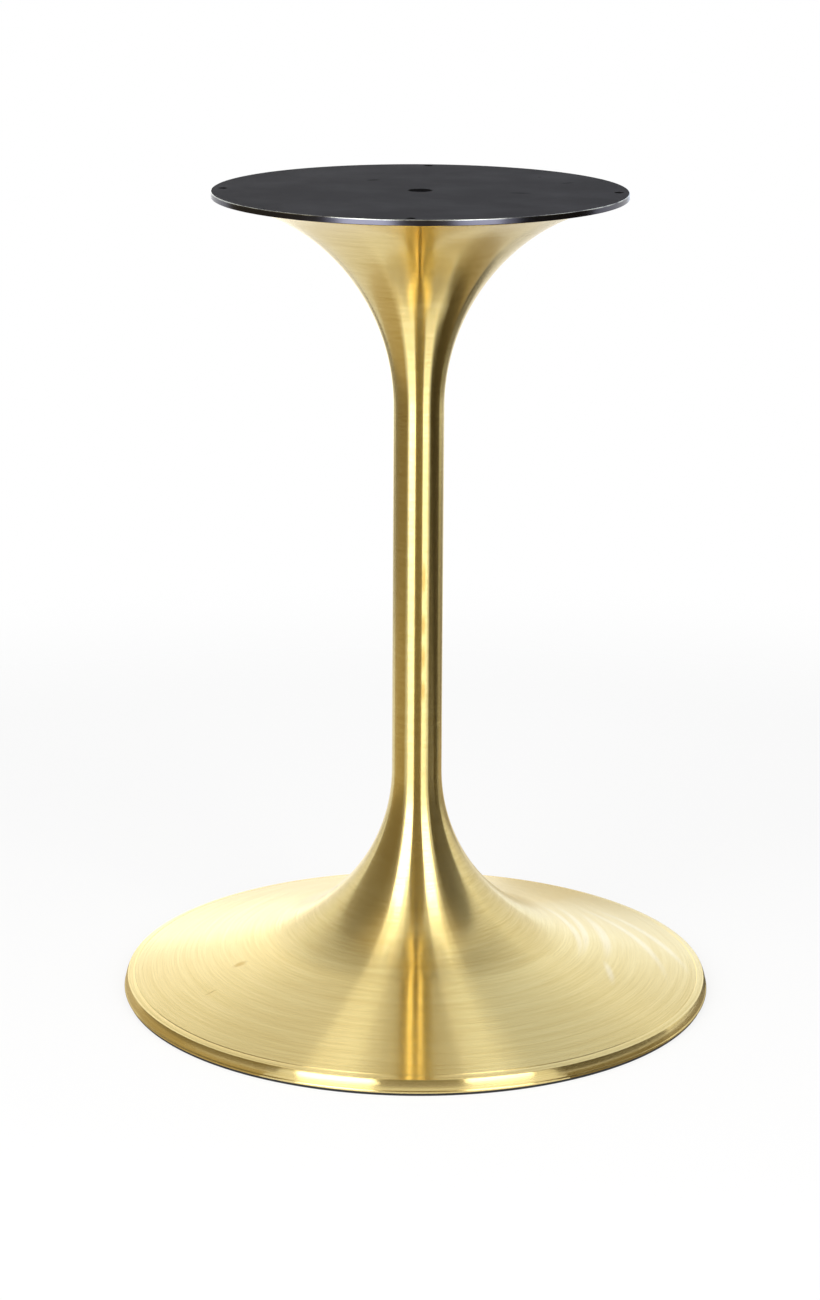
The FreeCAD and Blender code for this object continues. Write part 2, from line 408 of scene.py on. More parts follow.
def spots(tree, vector, places, core):
    """A mask of spots, each with a centre, a turn and half sizes, and full within its core."""
    mask = None
    for centre, turn, halves in places:
        local = add_node(
            tree, "ShaderNodeMapping", {"vector_type": "TEXTURE"},
            {"Vector": vector, "Location": centre, "Rotation": (0, 0, turn), "Scale": halves},
        ).outputs["Vector"]
        distance = add_node(
            tree, "ShaderNodeVectorMath", {"operation": "LENGTH"}, {0: local}
        ).outputs["Value"]
        spot = add_node(
            tree, "ShaderNodeMapRange", {"interpolation_type": "SMOOTHSTEP"},
            {"Value": distance, "From Min": 1.0, "From Max": core},
        ).outputs["Result"]
        if mask is None:
            mask = spot
        else:
            mask = add_node(
                tree, "ShaderNodeMath", {"operation": "MAXIMUM"}, {0: mask, 1: spot}
            ).outputs["Value"]
    return mask


# The flat between two brush furrows, and the furrows' flanks: lean, share, and blur beside the flat's
FURROW_FLANKS = (
    (0.0, 0.6, 1.0),
    (0.16, 0.13, 1.3), (-0.16, 0.13, 1.3),
    (0.36, 0.06, 1.6), (-0.36, 0.06, 1.6),
    (0.62, 0.09, 1.7), (-0.62, 0.09, 1.7),
)

# Brush lines as drawn: their depth, the fading of each on its way round, bands to a line, the bands' share,
# the part of the noise that is used, and the swing of the blur between lines
FURROW_DEPTH = 0.015 * MM
LINE_FADING = 2.5
BANDS_TO_A_LINE = 0.15
BAND_SHARE = 0.2
LINE_LOW, LINE_HIGH = 0.3, 0.7
BLUR_SWING = 0.08

# Share of the pale colour in a pale streak, partly a wiping mark and partly a painted reflection,
# and the radius at which the base is unrolled to place it
WIPE_AND_GLINT_SHARE = 0.3
WIPE_RADIUS = 200 * MM


def brushed_brass(name, finish, smudges=(), wipes_and_glints=()):
    """Brass brushed on the lathe: furrows run round the axis, so lights stretch along the sweep."""
    material, tree = new_material(name)
    place = add_node(tree, "ShaderNodeTexCoord").outputs["Object"]
    axes = add_node(tree, "ShaderNodeSeparateXYZ", {}, {"Vector": place}).outputs
    flat = add_node(tree, "ShaderNodeCombineXYZ", {}, {"X": axes["X"], "Y": axes["Y"]}).outputs["Vector"]
    radius = add_node(tree, "ShaderNodeVectorMath", {"operation": "LENGTH"}, {0: flat}).outputs["Value"]
    outwards = add_node(
        tree, "ShaderNodeVectorMath", {"operation": "NORMALIZE"}, {0: flat}
    ).outputs["Vector"]

    # A brush line is a few hundredths of a millimetre wide, so it is drawn coarser to show at all.
    # Each line fades in and out several times on its way round.
    scaled = add_node(
        tree, "ShaderNodeVectorMath", {"operation": "SCALE"},
        {0: outwards, "Scale": finish.brush_width * LINE_FADING},
    ).outputs["Vector"]
    swing = add_node(tree, "ShaderNodeSeparateXYZ", {}, {"Vector": scaled}).outputs
    lathe = add_node(
        tree, "ShaderNodeCombineXYZ", {}, {"X": radius, "Y": axes["Z"], "Z": swing["X"]}
    ).outputs["Vector"]
    brush = add_node(
        tree, "ShaderNodeTexNoise", {"noise_dimensions": "4D"},
        {
            "Vector": lathe, "W": swing["Y"], "Scale": 1 / finish.brush_width,
            "Detail": 4.0, "Roughness": 0.75,
        },
    ).outputs["Fac"]
    bands = add_node(
        tree, "ShaderNodeTexNoise", {"noise_dimensions": "4D"},
        {"Vector": lathe, "W": swing["Y"], "Scale": BANDS_TO_A_LINE / finish.brush_width, "Detail": 2.0},
    ).outputs["Fac"]
    mixed = add_node(
        tree, "ShaderNodeMix", {"data_type": "FLOAT"},
        {"Factor": BAND_SHARE, NUMBER_A: brush, NUMBER_B: bands},
    ).outputs[NUMBER_OUT]
    furrows = add_node(
        tree, "ShaderNodeMapRange", {}, {"Value": mixed, "From Min": LINE_LOW, "From Max": LINE_HIGH}
    ).outputs["Result"]
    tone = add_node(
        tree, "ShaderNodeMix", {"data_type": "RGBA"},
        {"Factor": furrows, COLOUR_A: opaque(finish.brass_shade), COLOUR_B: opaque(finish.brass)},
    ).outputs[COLOUR_OUT]

    if smudges:
        touched = spots(tree, place, smudges, SOFT_CORE)
        tone = add_node(
            tree, "ShaderNodeMix", {"data_type": "RGBA"},
            {"Factor": touched, COLOUR_A: tone, COLOUR_B: opaque(finish.brass_smudge)},
        ).outputs[COLOUR_OUT]
    # Pale streaks: partly wiping marks, partly painted reflections of small lights on the brushed brass
    if wipes_and_glints:
        turn = add_node(tree, "ShaderNodeMath", {"operation": "ARCTAN2"}, {0: axes["Y"], 1: axes["X"]})
        along = add_node(
            tree, "ShaderNodeMath", {"operation": "MULTIPLY"}, {0: turn.outputs["Value"], 1: WIPE_RADIUS}
        ).outputs["Value"]
        unrolled = add_node(tree, "ShaderNodeCombineXYZ", {}, {"X": radius, "Y": along}).outputs["Vector"]
        traces = spots(tree, unrolled, wipes_and_glints, SOFT_CORE)
        wiped = add_node(
            tree, "ShaderNodeMath", {"operation": "MULTIPLY"}, {0: traces, 1: WIPE_AND_GLINT_SHARE}
        ).outputs["Value"]
        tone = add_node(
            tree, "ShaderNodeMix", {"data_type": "RGBA"},
            {"Factor": wiped, COLOUR_A: tone, COLOUR_B: opaque(finish.brass_wipe_and_glint)},
        ).outputs[COLOUR_OUT]

    tangent = add_node(
        tree, "ShaderNodeTangent", {"direction_type": "RADIAL", "axis": "Z"}
    ).outputs["Tangent"]
    bump = add_node(
        tree, "ShaderNodeBump", {}, {"Height": brush, "Strength": 1.0, "Distance": FURROW_DEPTH}
    ).outputs["Normal"]
    # The flanks of the furrows lean up and down the sweep.
    # They spread light that way and keep it sharp round the axis.
    uphill = add_node(
        tree, "ShaderNodeVectorMath", {"operation": "CROSS_PRODUCT"}, {0: bump, 1: tangent}
    ).outputs["Vector"]
    brushed = None
    total = 0.0
    for lean, weight, blur in FURROW_FLANKS:
        level = finish.brass_roughness * blur
        roughness = add_node(
            tree, "ShaderNodeMapRange", {},
            {"Value": furrows, "To Min": level * (1 + BLUR_SWING), "To Max": level * (1 - BLUR_SWING)},
        ).outputs["Result"]
        tilt = add_node(
            tree, "ShaderNodeVectorMath", {"operation": "SCALE"}, {0: uphill, "Scale": lean}
        ).outputs["Vector"]
        leaning = add_node(
            tree, "ShaderNodeVectorMath", {"operation": "ADD"}, {0: bump, 1: tilt}
        ).outputs["Vector"]
        normal = add_node(
            tree, "ShaderNodeVectorMath", {"operation": "NORMALIZE"}, {0: leaning}
        ).outputs["Vector"]
        # A quarter turn lays the blur across the furrows
        flank = add_node(
            tree, "ShaderNodeBsdfPrincipled", {},
            {
                "Base Color": tone, "Metallic": 1.0, "Roughness": roughness, "Normal": normal,
                "Anisotropic": 1.0, "Anisotropic Rotation": 0.25, "Tangent": tangent,
            },
        ).outputs["BSDF"]
        total += weight
        if brushed is None:
            brushed = flank
        else:
            brushed = add_node(
                tree, "ShaderNodeMixShader", {}, {"Fac": weight / total, 1: brushed, 2: flank}
            ).outputs["Shader"]
    show(tree, brushed)
    return material


# The coat's rubbed clouds and their swing of gloss, the depth of its grain, and how little it mirrors
COAT_CLOUD = 71.4 * MM
COAT_SWING = 0.08
GRAIN_DEPTH = 0.04 * MM
COAT_SHINE = 0.12


def powder_coat(name, finish, chips_and_hole_shade, scuffs):
    """Black powder coat on steel: a fine grain that dulls the gloss, rubbed places, scuffs, chipped spots,
    and painted shade that darkens the holes and the countersink.
    """
    material, tree = new_material(name)
    place = add_node(tree, "ShaderNodeTexCoord").outputs["Object"]
    grain = add_node(
        tree, "ShaderNodeTexNoise", {}, {"Vector": place, "Scale": 1 / finish.coat_grain, "Detail": 3.0}
    ).outputs["Fac"]
    cloud = add_node(
        tree, "ShaderNodeTexNoise", {},
        {"Vector": place, "Scale": 1 / COAT_CLOUD, "Detail": 4.0, "Roughness": 0.6},
    ).outputs["Fac"]
    rubbed = add_node(
        tree, "ShaderNodeMapRange", {}, {"Value": cloud, "From Min": 0.45, "From Max": 0.8}
    ).outputs["Result"]
    tone = add_node(
        tree, "ShaderNodeMix", {"data_type": "RGBA"},
        {"Factor": rubbed, COLOUR_A: opaque(finish.coat), COLOUR_B: opaque(finish.coat_haze)},
    ).outputs[COLOUR_OUT]
    uneven = add_node(
        tree, "ShaderNodeMapRange", {}, {"Value": grain, "From Min": 0.3, "From Max": 0.55}
    ).outputs["Result"]
    scuffed = add_node(
        tree, "ShaderNodeMath", {"operation": "MULTIPLY"},
        {0: spots(tree, place, scuffs, SOFT_CORE), 1: uneven},
    ).outputs["Value"]
    # Chipped and scuffed spots, together with painted shade in the holes and the countersink
    spoilt_and_shaded = add_node(
        tree, "ShaderNodeMath", {"operation": "MAXIMUM"},
        {0: spots(tree, place, chips_and_hole_shade, CHIP_CORE), 1: scuffed},
    ).outputs["Value"]
    tone = add_node(
        tree, "ShaderNodeMix", {"data_type": "RGBA"},
        {"Factor": spoilt_and_shaded, COLOUR_A: tone, COLOUR_B: opaque(finish.coat_scuff_and_shade)},
    ).outputs[COLOUR_OUT]
    dullest = finish.coat_roughness + COAT_SWING
    glossiest = finish.coat_roughness - COAT_SWING
    roughness = add_node(
        tree, "ShaderNodeMapRange", {}, {"Value": cloud, "To Min": dullest, "To Max": glossiest}
    ).outputs["Result"]
    roughness = add_node(
        tree, "ShaderNodeMix", {"data_type": "FLOAT"}, {"Factor": spoilt_and_shaded, NUMBER_A: roughness, NUMBER_B: 1.0}
    ).outputs[NUMBER_OUT]
    bump = add_node(
        tree, "ShaderNodeBump", {}, {"Height": grain, "Strength": 0.3, "Distance": GRAIN_DEPTH}
    ).outputs["Normal"]
    surface = add_node(
        tree, "ShaderNodeBsdfPrincipled", {},
        {
            "Base Color": tone, "Roughness": roughness, "Normal": bump,
            "IOR": 1.5, "Specular IOR Level": COAT_SHINE,
        },
    )
    show(tree, surface.outputs["BSDF"])
    return material


# The plate edge's patches of wear and painted highlight, and its blur from the smoothest to the dullest
EDGE_CLOUD = 16.7 * MM
EDGE_SMOOTH, EDGE_DULL = 0.14, 0.26


def turned_edge(name, finish, corner, depth):
    """Steel turned bright and blackened: it mirrors the lamps, and its upper corner is patchy bright steel,
    partly wear and partly a painted highlight.
    """
    material, tree = new_material(name)
    place = add_node(tree, "ShaderNodeTexCoord").outputs["Object"]
    height = add_node(tree, "ShaderNodeSeparateXYZ", {}, {"Vector": place}).outputs["Z"]
    cloud = add_node(
        tree, "ShaderNodeTexNoise", {}, {"Vector": place, "Scale": 1 / EDGE_CLOUD, "Detail": 3.0}
    ).outputs["Fac"]
    near = add_node(
        tree, "ShaderNodeMapRange", {"interpolation_type": "SMOOTHSTEP"},
        {"Value": height, "From Min": corner - depth, "From Max": corner},
    ).outputs["Result"]
    patchy = add_node(
        tree, "ShaderNodeMapRange", {}, {"Value": cloud, "From Min": 0.3, "From Max": 0.55}
    ).outputs["Result"]
    # Bright steel along the upper corner: partly wear, partly a painted highlight of the rounded corner
    worn = add_node(tree, "ShaderNodeMath", {"operation": "MULTIPLY"}, {0: near, 1: patchy}).outputs["Value"]
    tone = add_node(
        tree, "ShaderNodeMix", {"data_type": "RGBA"},
        {"Factor": worn, COLOUR_A: opaque(finish.plate_edge), COLOUR_B: opaque(finish.plate_wear_and_highlight)},
    ).outputs[COLOUR_OUT]
    roughness = add_node(
        tree, "ShaderNodeMapRange", {}, {"Value": cloud, "To Min": EDGE_SMOOTH, "To Max": EDGE_DULL}
    ).outputs["Result"]
    surface = add_node(
        tree, "ShaderNodeBsdfPrincipled", {}, {"Base Color": tone, "Metallic": 1.0, "Roughness": roughness}
    )
    show(tree, surface.outputs["BSDF"])
    return material


# Swing of blur and darkest share of colour in the rod's grain
STEEL_SWING = 0.25
STEEL_SHADE = 0.8


def plain_metal(name, tone, roughness, grain):
    """Steel with a thin even finish: a fine grain breaks up its shine."""
    material, tree = new_material(name)
    place = add_node(tree, "ShaderNodeTexCoord").outputs["Object"]
    noise = add_node(
        tree, "ShaderNodeTexNoise", {}, {"Vector": place, "Scale": 1 / grain, "Detail": 3.0}
    ).outputs["Fac"]
    dull = add_node(
        tree, "ShaderNodeMapRange", {},
        {"Value": noise, "To Min": roughness * (1 - STEEL_SWING), "To Max": roughness * (1 + STEEL_SWING)},
    ).outputs["Result"]
    darker = tuple(STEEL_SHADE * part for part in tone)
    shade = add_node(
        tree, "ShaderNodeMix", {"data_type": "RGBA"},
        {"Factor": noise, COLOUR_A: opaque(darker), COLOUR_B: opaque(tone)},
    ).outputs[COLOUR_OUT]
    surface = add_node(
        tree, "ShaderNodeBsdfPrincipled", {}, {"Base Color": shade, "Metallic": 1.0, "Roughness": dull}
    )
    show(tree, surface.outputs["BSDF"])
    return material


# Palest share of colour and depth of the grain in a matt cover, and the shine that primer and rubber have
COVER_PALE = 1.5
COVER_DEPTH = 0.1 * MM
COVER_SHINE = 0.5


def matt_cover(name, tone, roughness, grain, shine=COVER_SHINE):
    """A dark skin such as black oxide, primer or rubber: a fine grain, and a little cloud in its colour."""
    material, tree = new_material(name)
    place = add_node(tree, "ShaderNodeTexCoord").outputs["Object"]
    noise = add_node(
        tree, "ShaderNodeTexNoise", {}, {"Vector": place, "Scale": 1 / grain, "Detail": 4.0}
    ).outputs["Fac"]
    paler = tuple(COVER_PALE * part for part in tone)
    shade = add_node(
        tree, "ShaderNodeMix", {"data_type": "RGBA"},
        {"Factor": noise, COLOUR_A: opaque(tone), COLOUR_B: opaque(paler)},
    ).outputs[COLOUR_OUT]
    bump = add_node(
        tree, "ShaderNodeBump", {}, {"Height": noise, "Strength": 0.4, "Distance": COVER_DEPTH}
    ).outputs["Normal"]
    surface = add_node(
        tree, "ShaderNodeBsdfPrincipled", {},
        {"Base Color": shade, "Roughness": roughness, "Normal": bump, "Specular IOR Level": shine},
    )
    show(tree, surface.outputs["BSDF"])
    return material


# Marks, from places in millimetres and turns in degrees

# A half height that takes in the whole object, the half length of a pale streak beside the run between its
# points, and the painted shade round the countersink and round each hole
ANY_HEIGHT = 1000.0
WIPE_REACH = 0.75
SINK_PAINTED_SHADE = 11.5
HOLE_PAINTED_SHADE = 4.5

# Middle and half sizes, across and inwards, of the tarnished patches on the tube
TARNISH_PLACE = (5.0 * MM, -21.7 * MM)
TARNISH_HALVES = (3.0 * MM, 6.0 * MM)


def mark(x, y, half_length, half_width, degrees):
    """A mark on the plate's face, for the spots of a mask on Object coordinates."""
    return (x * MM, y * MM, 0), math.radians(degrees), (half_length * MM, half_width * MM, ANY_HEIGHT)


def smudge(radius, degrees, half_length, half_width):
    """A smudge that runs outwards, for the spots of a mask on Object coordinates."""
    turn = math.radians(degrees)
    centre = (radius * MM * math.cos(turn), radius * MM * math.sin(turn), 0)
    return centre, turn, (half_length * MM, half_width * MM, ANY_HEIGHT)


def tarnish(height, half_height):
    """A tarnished patch on the tube, to the right of its front."""
    return (*TARNISH_PLACE, height * MM), 0.0, (*TARNISH_HALVES, half_height * MM)


def wipe(first, last, half_width):
    """A pale streak between two points, partly a wiping mark and partly a painted reflection, on the base
    unrolled to radius and angle.
    """
    start = at(first[0] * MM, math.radians(first[1]) * WIPE_RADIUS)
    end = at(last[0] * MM, math.radians(last[1]) * WIPE_RADIUS)
    centre = (start + end) / 2
    run = end - start
    halves = (run.length * WIPE_REACH, half_width * MM, ANY_HEIGHT)
    return (centre.x, centre.y, 0), math.atan2(run.y, run.x), halves


# Pieces


class TULIPBASE_OT_top_trumpet(bpy.types.Operator):
    """Model the spun trumpet that opens under the top plate"""

    bl_idname = "tulip_base.top_trumpet"
    bl_label = "Top trumpet"

    def execute(self, context):
        settings = context.scene.tulip_base
        sizes = settings.sizes
        seam = foot_of("top_trumpet")
        mouth = top_of("top_trumpet")
        inner = sizes.column_radius - sizes.wall
        start = seam + sizes.top_neck
        reach = sizes.top_flare_radius + sizes.mouth_bend
        turn = math.acos(1 - (sizes.mouth_radius - sizes.column_radius) / reach)
        sweep = at(sizes.column_radius + sizes.top_flare_radius, start)
        bend = at(sizes.mouth_radius - sizes.mouth_bend, mouth - sizes.mouth_lip)
        end = math.pi - turn
        outside = [
            at(sizes.column_radius - sizes.seam_groove, seam),
            at(sizes.column_radius, seam + sizes.seam_groove),
        ]
        outside += arc(sweep, sizes.top_flare_radius, math.pi, end)
        outside += arc(bend, sizes.mouth_bend, -turn, 0)[1:]
        outside.append(at(sizes.mouth_radius, mouth))
        inside = [at(sizes.mouth_radius - sizes.wall, mouth)]
        inside += arc(bend, sizes.mouth_bend - sizes.wall, 0, -turn)
        inside += arc(sweep, sizes.top_flare_radius + sizes.wall, end, math.pi)[1:]
        inside.append(at(inner, seam))
        trumpet = turned("top_trumpet_brass", outside + inside + outside[:1], sizes.turn_steps)
        brass = brushed_brass("Brass sheet, spun and brushed", settings.finish)
        finish_piece(trumpet, "top_trumpet", brass)
        return {"FINISHED"}


class TULIPBASE_OT_column_tube(bpy.types.Operator):
    """Model the drawn tube, with a hairline at each dressed seam"""

    bl_idname = "tulip_base.column_tube"
    bl_label = "Column tube"

    def execute(self, context):
        settings = context.scene.tulip_base
        sizes = settings.sizes
        low = foot_of("column_tube")
        high = top_of("column_tube")
        outer = sizes.column_radius
        hairline = sizes.seam_groove
        inner = outer - sizes.wall
        section = [
            at(outer - hairline, low), at(outer, low + hairline),
            at(outer, high - hairline), at(outer - hairline, high),
            at(inner, high), at(inner, low),
        ]
        tube = turned("column_tube_brass", section + section[:1], sizes.turn_steps)
        patches = [tarnish(384, 22), tarnish(342, 14), tarnish(312, 16), tarnish(282, 14)]
        brass = brushed_brass("Brass tube, drawn and brushed", settings.finish, patches)
        finish_piece(tube, "column_tube", brass)
        return {"FINISHED"}


class TULIPBASE_OT_base_trumpet(bpy.types.Operator):
    """Model the spun base: neck, sweep, cone, grooved ring, rounded side and beaded hem"""

    bl_idname = "tulip_base.base_trumpet"
    bl_label = "Base trumpet"

    def execute(self, context):
        settings = context.scene.tulip_base
        sizes = settings.sizes
        seam = top_of("base_trumpet")
        hem = foot_of("base_trumpet")
        seat = top_of("ballast_plate")
        rim_top = seat + sizes.wall
        slope = sizes.cone_slope
        rim_radius = sizes.base_radius - sizes.bead_stand_out
        ring_outer = rim_radius - sizes.side_inset - sizes.edge_round
        ring_inner = ring_outer - sizes.ring_width
        ring_rise = math.tan(slope) * sizes.ring_slope
        ring_start = at(ring_inner, rim_top + sizes.ring_width * ring_rise)
        ring_end = at(ring_outer, rim_top)
        cone_end = ring_start + at(-sizes.groove_width, sizes.groove_width * ring_rise)
        groove = at(cone_end.x + sizes.groove_width / 2, ring_start.y - sizes.groove_depth)

        # The side stands upright at the bead and runs smoothly into the rounded edge
        bead_top = hem + sizes.bead_height
        edge = at(ring_outer, rim_top - sizes.edge_round)
        rise = edge.y - bead_top
        reach = (rise ** 2 + sizes.side_inset ** 2) / (2 * sizes.side_inset)
        side_turn = math.asin(rise / reach)
        side_radius = reach + sizes.edge_round
        side = at(rim_radius - side_radius, bead_top)

        # The bead is the round of a rolled hem
        half_bead = sizes.bead_height / 2
        bead_radius = (half_bead ** 2 + sizes.bead_stand_out ** 2) / (2 * sizes.bead_stand_out)
        bead = at(sizes.base_radius - bead_radius, hem + half_bead)
        bead_turn = math.asin(half_bead / bead_radius)

        sweep = at(sizes.column_radius + sizes.base_flare_radius, seam - sizes.base_neck)
        cone_start = 1.5 * math.pi - slope
        outside = [
            at(sizes.column_radius - sizes.seam_groove, seam),
            at(sizes.column_radius, seam - sizes.seam_groove),
        ]
        outside += arc(sweep, sizes.base_flare_radius, math.pi, cone_start)
        outside += [cone_end, groove]
        outside += crowned(ring_start, ring_end, sizes.ring_crown)
        outside += arc(edge, sizes.edge_round, math.pi / 2, side_turn)[1:]
        outside += arc(side, side_radius, side_turn, 0)[1:]
        outside += arc(bead, bead_radius, bead_turn, -bead_turn)[1:]

        inner_rim = rim_radius - sizes.side_inset - sizes.wall
        inner_sweep = arc(sweep, sizes.base_flare_radius + sizes.wall, cone_start, math.pi)
        seat_radius = inner_sweep[0].x + (inner_sweep[0].y - seat) / math.tan(slope)
        inside = [at(inner_rim, hem), at(inner_rim, seat), at(seat_radius, seat)]
        inside += inner_sweep
        inside.append(at(sizes.column_radius - sizes.wall, seam))
        base = turned("base_trumpet_brass", outside + inside + outside[:1], sizes.turn_steps)

        smudges = [
            smudge(168.8, -157.7, 9.0, 5.5),
            smudge(207.5, -149.9, 8.0, 1.3),
        ]
        # Pale streaks on the right of the base: partly wiping marks, partly painted reflections of small
        # lights
        wipes_and_glints = [
            wipe((133.5, 25.9), (152.1, -14.6), 5.0),
            wipe((151.4, 26.6), (154.7, -12.6), 5.0),
            wipe((169.0, 22.0), (174.6, -10.0), 7.0),
            wipe((185.0, 28.0), (224.8, -7.9), 6.0),
            wipe((205.0, 29.0), (242.8, -1.0), 6.0),
            wipe((175.7, -15.6), (192.6, -25.6), 5.0),
        ]
        brass = brushed_brass("Brass sheet, spun and brushed, handled, with painted glints", settings.finish, smudges, wipes_and_glints)
        finish_piece(base, "base_trumpet", brass)
        return {"FINISHED"}


class TULIPBASE_OT_top_plate(bpy.types.Operator):
    """Model the round plate that the table top is screwed to"""

    bl_idname = "tulip_base.top_plate"
    bl_label = "Top plate"

    def execute(self, context):
        settings = context.scene.tulip_base
        sizes = settings.sizes
        low = foot_of("top_plate")
        high = top_of("top_plate")
        ease = sizes.plate_edge
        edge = sizes.plate_radius - ease
        sink_floor = high - (sizes.sink_radius - sizes.clearance_radius)
        section = [at(sizes.clearance_radius, low)]
        section += arc(at(edge, low + ease), ease, -math.pi / 2, 0)
        section += arc(at(edge, high - ease), ease, 0, math.pi / 2)
        section += [at(sizes.sink_radius, high), at(sizes.clearance_radius, sink_floor), section[0]]
        plate = turned("top_plate_coated", section, sizes.turn_steps)

        chips_and_hole_shade = [
            mark(-128, -120, 2.6, 1.9, 45),
            mark(-110, -137, 1.9, 1.4, 45),
            # Painted shade: the countersink's wall is darkened as if shaded
            mark(0, 0, SINK_PAINTED_SHADE, SINK_PAINTED_SHADE, 0),
        ]
        hole = sizes.hole_radius
        past = sizes.hole_ease
        drill_end = hole + 2 * past
        drill_section = [
            at(0, low - past), at(drill_end, low - past), at(hole, low + past),
            at(hole, high - past), at(drill_end, high + past), at(0, high + past),
        ]
        for number in range(sizes.hole_count):
            turn = sizes.hole_turn + number * math.tau / sizes.hole_count
            drill = turned("drill", drill_section, DRILL_STEPS)
            edit_all()
            drill_place = sizes.hole_circle * Vector((math.cos(turn), math.sin(turn), 0))
            bpy.ops.transform.translate(value=drill_place)
            bpy.ops.object.mode_set(mode="OBJECT")
            cut(plate, drill)
            # Painted shade darkens each hole's wall and mouth
            chips_and_hole_shade.append(mark(drill_place.x / MM, drill_place.y / MM, HOLE_PAINTED_SHADE, HOLE_PAINTED_SHADE, 0))
        scuffs = [
            mark(-41, 66, 8, 5, 20),
            mark(85, -14, 12, 4, -10),
            mark(105, 92, 2.5, 2.5, 0),
            mark(128, 53, 9, 3, 30),
        ]
        coat = powder_coat("Steel plate, black powder coat, painted hole shade", settings.finish, chips_and_hole_shade, scuffs)
        finish_piece(plate, "top_plate", coat)
        blackened = turned_edge("Steel edge, turned and blackened, with painted highlight", settings.finish, high, 2 * ease)
        plate.data.materials.append(blackened)
        select_faces(plate, lambda centre: math.hypot(centre.x, centre.y) > edge - ease)
        plate.active_material_index = 1
        bpy.ops.object.material_slot_assign()
        bpy.ops.mesh.select_mode(type="VERT")
        bpy.ops.object.mode_set(mode="OBJECT")
        return {"FINISHED"}


class TULIPBASE_OT_screws(bpy.types.Operator):
    """Model the countersunk socket screws at both ends of the column"""

    bl_idname = "tulip_base.screws"
    bl_label = "Screws"

    def execute(self, context):
        settings = context.scene.tulip_base
        sizes = settings.sizes
        # Black oxide in a shaded countersink keeps no shine
        steel = matt_cover(
            "Screw steel, black oxide", settings.finish.screw, roughness=0.6, grain=0.6 * MM, shine=0.0,
        )
        for node, face, tip in (
            ("top_screw", top_of("top_screw"), foot_of("top_screw")),
            ("bottom_screw", foot_of("bottom_screw"), top_of("bottom_screw")),
        ):
            down = math.copysign(1, tip - face)
            land = face + down * sizes.head_land
            neck = land + down * (sizes.head_radius - sizes.shank_radius)
            screw = turned(
                node + "_steel",
                [
                    at(0, face), at(sizes.head_radius - sizes.screw_ease, face),
                    at(sizes.head_radius, face + down * sizes.screw_ease), at(sizes.head_radius, land),
                    at(sizes.shank_radius, neck), at(sizes.shank_radius, tip - down * sizes.tip_chamfer),
                    at(sizes.shank_radius - sizes.tip_chamfer, tip), at(0, tip),
                ],
                SCREW_STEPS,
            )
            deselect()
            bpy.ops.mesh.primitive_cylinder_add(
                vertices=6, radius=sizes.hexagon / math.sqrt(3), depth=2 * sizes.hexagon_depth,
                location=(0, 0, face), rotation=(0, 0, math.radians(30)),
            )
            bpy.ops.object.transform_apply(location=True, rotation=True)
            cut(screw, bpy.context.object)
            finish_piece(screw, node, steel)
        return {"FINISHED"}


class TULIPBASE_OT_foot(bpy.types.Operator):
    """Model the rubber ring and the ballast plate, and finish the hidden tie rod"""

    bl_idname = "tulip_base.foot"
    bl_label = "Foot and rod"

    def execute(self, context):
        settings = context.scene.tulip_base
        sizes = settings.sizes
        finish = settings.finish

        ease = sizes.rubber_round
        low = foot_of("floor_ring") + ease
        high = top_of("floor_ring") - ease
        outer = radius_of("floor_ring") - ease
        inner = sizes.ring_inner_radius + ease
        section = arc(at(inner, low), ease, math.pi, 1.5 * math.pi)
        section += arc(at(outer, low), ease, -math.pi / 2, 0)
        section += arc(at(outer, high), ease, 0, math.pi / 2)
        section += arc(at(inner, high), ease, math.pi / 2, math.pi)
        ring = turned("floor_ring_rubber", section + section[:1], sizes.turn_steps)
        rubber = matt_cover("Rubber, punched", finish.rubber, roughness=0.7, grain=3 * MM)
        finish_piece(ring, "floor_ring", rubber)

        low = foot_of("ballast_plate")
        high = top_of("ballast_plate")
        ease = sizes.ballast_ease
        edge = radius_of("ballast_plate")
        sink_top = low + sizes.sink_radius - sizes.clearance_radius
        section = [
            at(sizes.clearance_radius, high), at(sizes.clearance_radius, sink_top),
            at(sizes.sink_radius, low), at(edge - ease, low), at(edge, low + ease),
            at(edge, high - ease), at(edge - ease, high),
        ]
        ballast = turned("ballast_plate_primed", section + section[:1], sizes.turn_steps)
        primer = matt_cover("Steel plate, dull black primer", finish.ballast, roughness=0.75, grain=6 * MM)
        finish_piece(ballast, "ballast_plate", primer)

        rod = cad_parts["tie_rod"]
        rod.data.materials.clear()
        drawn = plain_metal("Steel rod, bright drawn", finish.rod, roughness=0.3, grain=2 * MM)
        rod.data.materials.append(drawn)
        return {"FINISHED"}


# Stage


def heading(turn):
    """The direction at an angle from the camera's side of the column, to the right."""
    return Vector((math.sin(turn), -math.cos(turn), 0))


